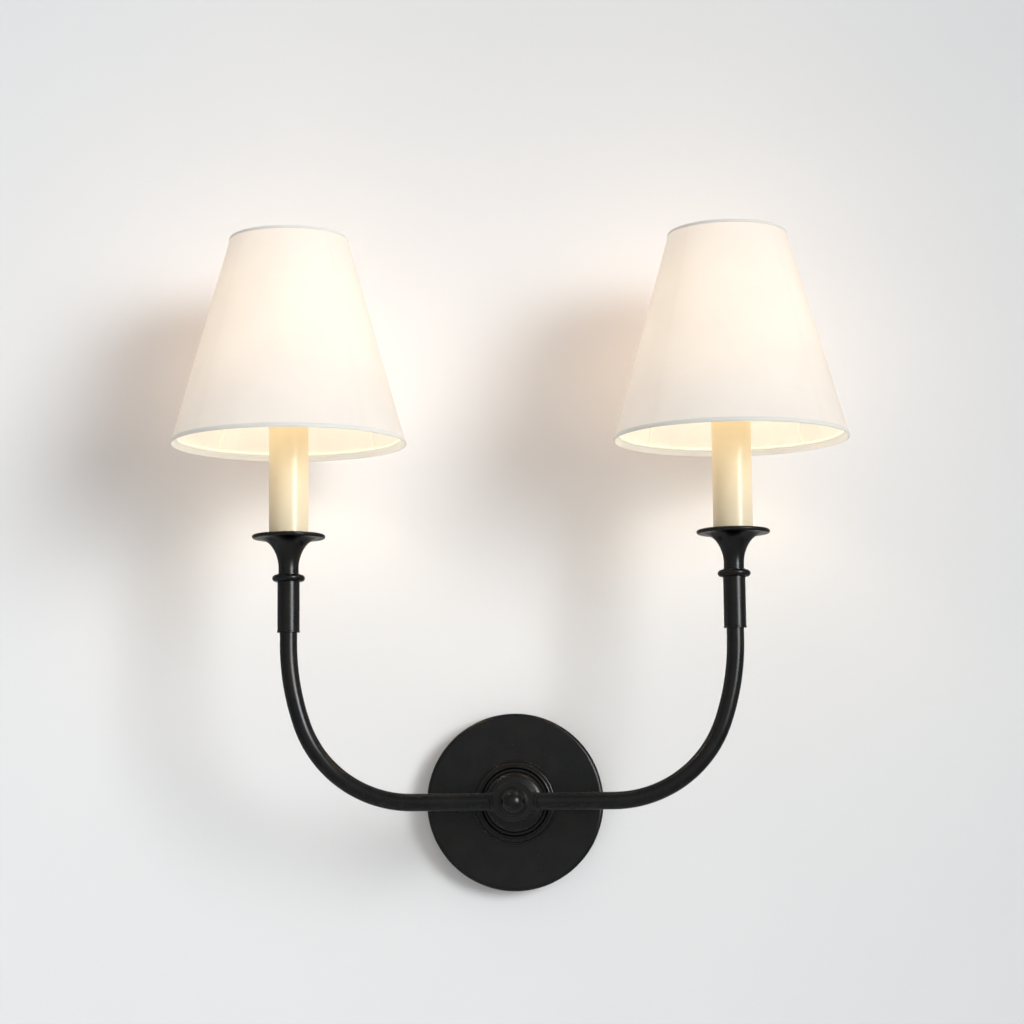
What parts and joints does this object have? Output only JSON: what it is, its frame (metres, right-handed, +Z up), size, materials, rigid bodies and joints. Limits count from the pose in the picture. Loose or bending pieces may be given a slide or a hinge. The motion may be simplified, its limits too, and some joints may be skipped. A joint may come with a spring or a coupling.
{
  "type": "double arm wall sconce",
  "caption": "Double arm wall sconce: round wall plate, stepped boss, hub with ball finial, J-shaped tube arms, drip cups, candle sleeves, candle bulbs and tapered clip-on cloth shades.",
  "frame": {"origin": "centre of the wall plate's rear rim, on the wall and on the hub's axis", "axes": "+X to the right as seen from the room, +Y into the wall, +Z up along the candles"},
  "size_m": [0.4376, 0.1762, 0.4249],
  "materials": {
    "bronze_finish": "satin blackened bronze lacquer",
    "zinc_steel": "zinc plated",
    "brass_screws": "plain brass",
    "block_plastic": "moulded",
    "holder_plastic": "moulded phenolic",
    "sleeve_ivory": "glossy ivory",
    "lead_sheath": "soft sheath",
    "bulb_metal": "nickel plated",
    "bulb_glass": "clear",
    "filament_glow": "lit filament",
    "clip_wire": "drawn wire",
    "frame_enamel": "white enamelled wire",
    "shade_cloth": "plain weave cloth on a stiff lining",
    "shade_tape": "folded edge tape"
  },
  "bodies": {
    "fixture": {"backplate": "bronze_finish", "canopy_boss": "bronze_finish", "stem": "bronze_finish", "hub_body": "bronze_finish", "hub_cover": "bronze_finish", "arm_collars": "bronze_finish", "arm_left": "bronze_finish", "arm_right": "bronze_finish", "ferrule_left": "bronze_finish", "ferrule_right": "bronze_finish", "bead_ring_left": "bronze_finish", "bead_ring_right": "bronze_finish", "drip_cup_left": "bronze_finish", "drip_cup_right": "bronze_finish", "wall_bracket": "zinc_steel", "rim_screws": "zinc_steel", "stem_rod": "zinc_steel", "stem_washer": "zinc_steel", "stem_locknut": "zinc_steel", "candle_rods": "zinc_steel", "candle_locknuts": "zinc_steel", "holder_screws": "zinc_steel", "holder_leg_left": "zinc_steel", "holder_leg_right": "zinc_steel", "earth_screw": "brass_screws", "terminal_screws": "brass_screws", "centre_contacts": "brass_screws", "screw_shell_left": "brass_screws", "screw_shell_right": "brass_screws", "terminal_block": "block_plastic", "lampholder_left": "holder_plastic", "lampholder_right": "holder_plastic", "candle_sleeve_left": "sleeve_ivory", "candle_sleeve_right": "sleeve_ivory", "lead_left": "lead_sheath", "lead_right": "lead_sheath"},
    "finial_body": {"finial": "bronze_finish"},
    "bulb_left": {"bulb_cap_left": "bulb_metal", "bulb_glass_left": "bulb_glass", "bulb_filament_left": "filament_glow"},
    "clip_left": {"bulb_clip_left": "clip_wire"},
    "shade_left": {"shade_bridge_left": "frame_enamel", "shade_head_ring_left": "frame_enamel", "shade_foot_ring_left": "frame_enamel", "shade_ribs_left": "frame_enamel", "shade_fabric_left": "shade_cloth", "shade_foot_tape_left": "shade_tape", "shade_head_tape_left": "shade_tape"},
    "bulb_right": {"bulb_cap_right": "bulb_metal", "bulb_glass_right": "bulb_glass", "bulb_filament_right": "filament_glow"},
    "clip_right": {"bulb_clip_right": "clip_wire"},
    "shade_right": {"shade_bridge_right": "frame_enamel", "shade_head_ring_right": "frame_enamel", "shade_foot_ring_right": "frame_enamel", "shade_ribs_right": "frame_enamel", "shade_fabric_right": "shade_cloth", "shade_foot_tape_right": "shade_tape", "shade_head_tape_right": "shade_tape"}
  },
  "joints": [
    {"name": "finial_turn", "type": "hinge", "parent": "fixture", "child": "finial_body", "pos_m": [0, -0.113, 0], "axis": [0, -1, 0], "continuous": true},
    {"name": "bulb_turn_left", "type": "hinge", "parent": "fixture", "child": "bulb_left", "pos_m": [-0.1426, -0.1, 0.24838], "axis": [0, 0, 1], "continuous": true},
    {"name": "clip_lift_left", "type": "slide", "parent": "bulb_left", "child": "clip_left", "axis": [0, 0, 1], "range_m": [0, 0.13]},
    {"name": "shade_tilt_left", "type": "hinge", "parent": "clip_left", "child": "shade_left", "pos_m": [-0.1426, -0.1, 0.35008], "axis": [1, 0, 0], "range_deg": [-10, 10]},
    {"name": "bulb_turn_right", "type": "hinge", "parent": "fixture", "child": "bulb_right", "pos_m": [0.1426, -0.1, 0.24838], "axis": [0, 0, 1], "continuous": true},
    {"name": "clip_lift_right", "type": "slide", "parent": "bulb_right", "child": "clip_right", "axis": [0, 0, 1], "range_m": [0, 0.13]},
    {"name": "shade_tilt_right", "type": "hinge", "parent": "clip_right", "child": "shade_right", "pos_m": [0.1426, -0.1, 0.35008], "axis": [1, 0, 0], "range_deg": [-10, 10]}
  ]
}
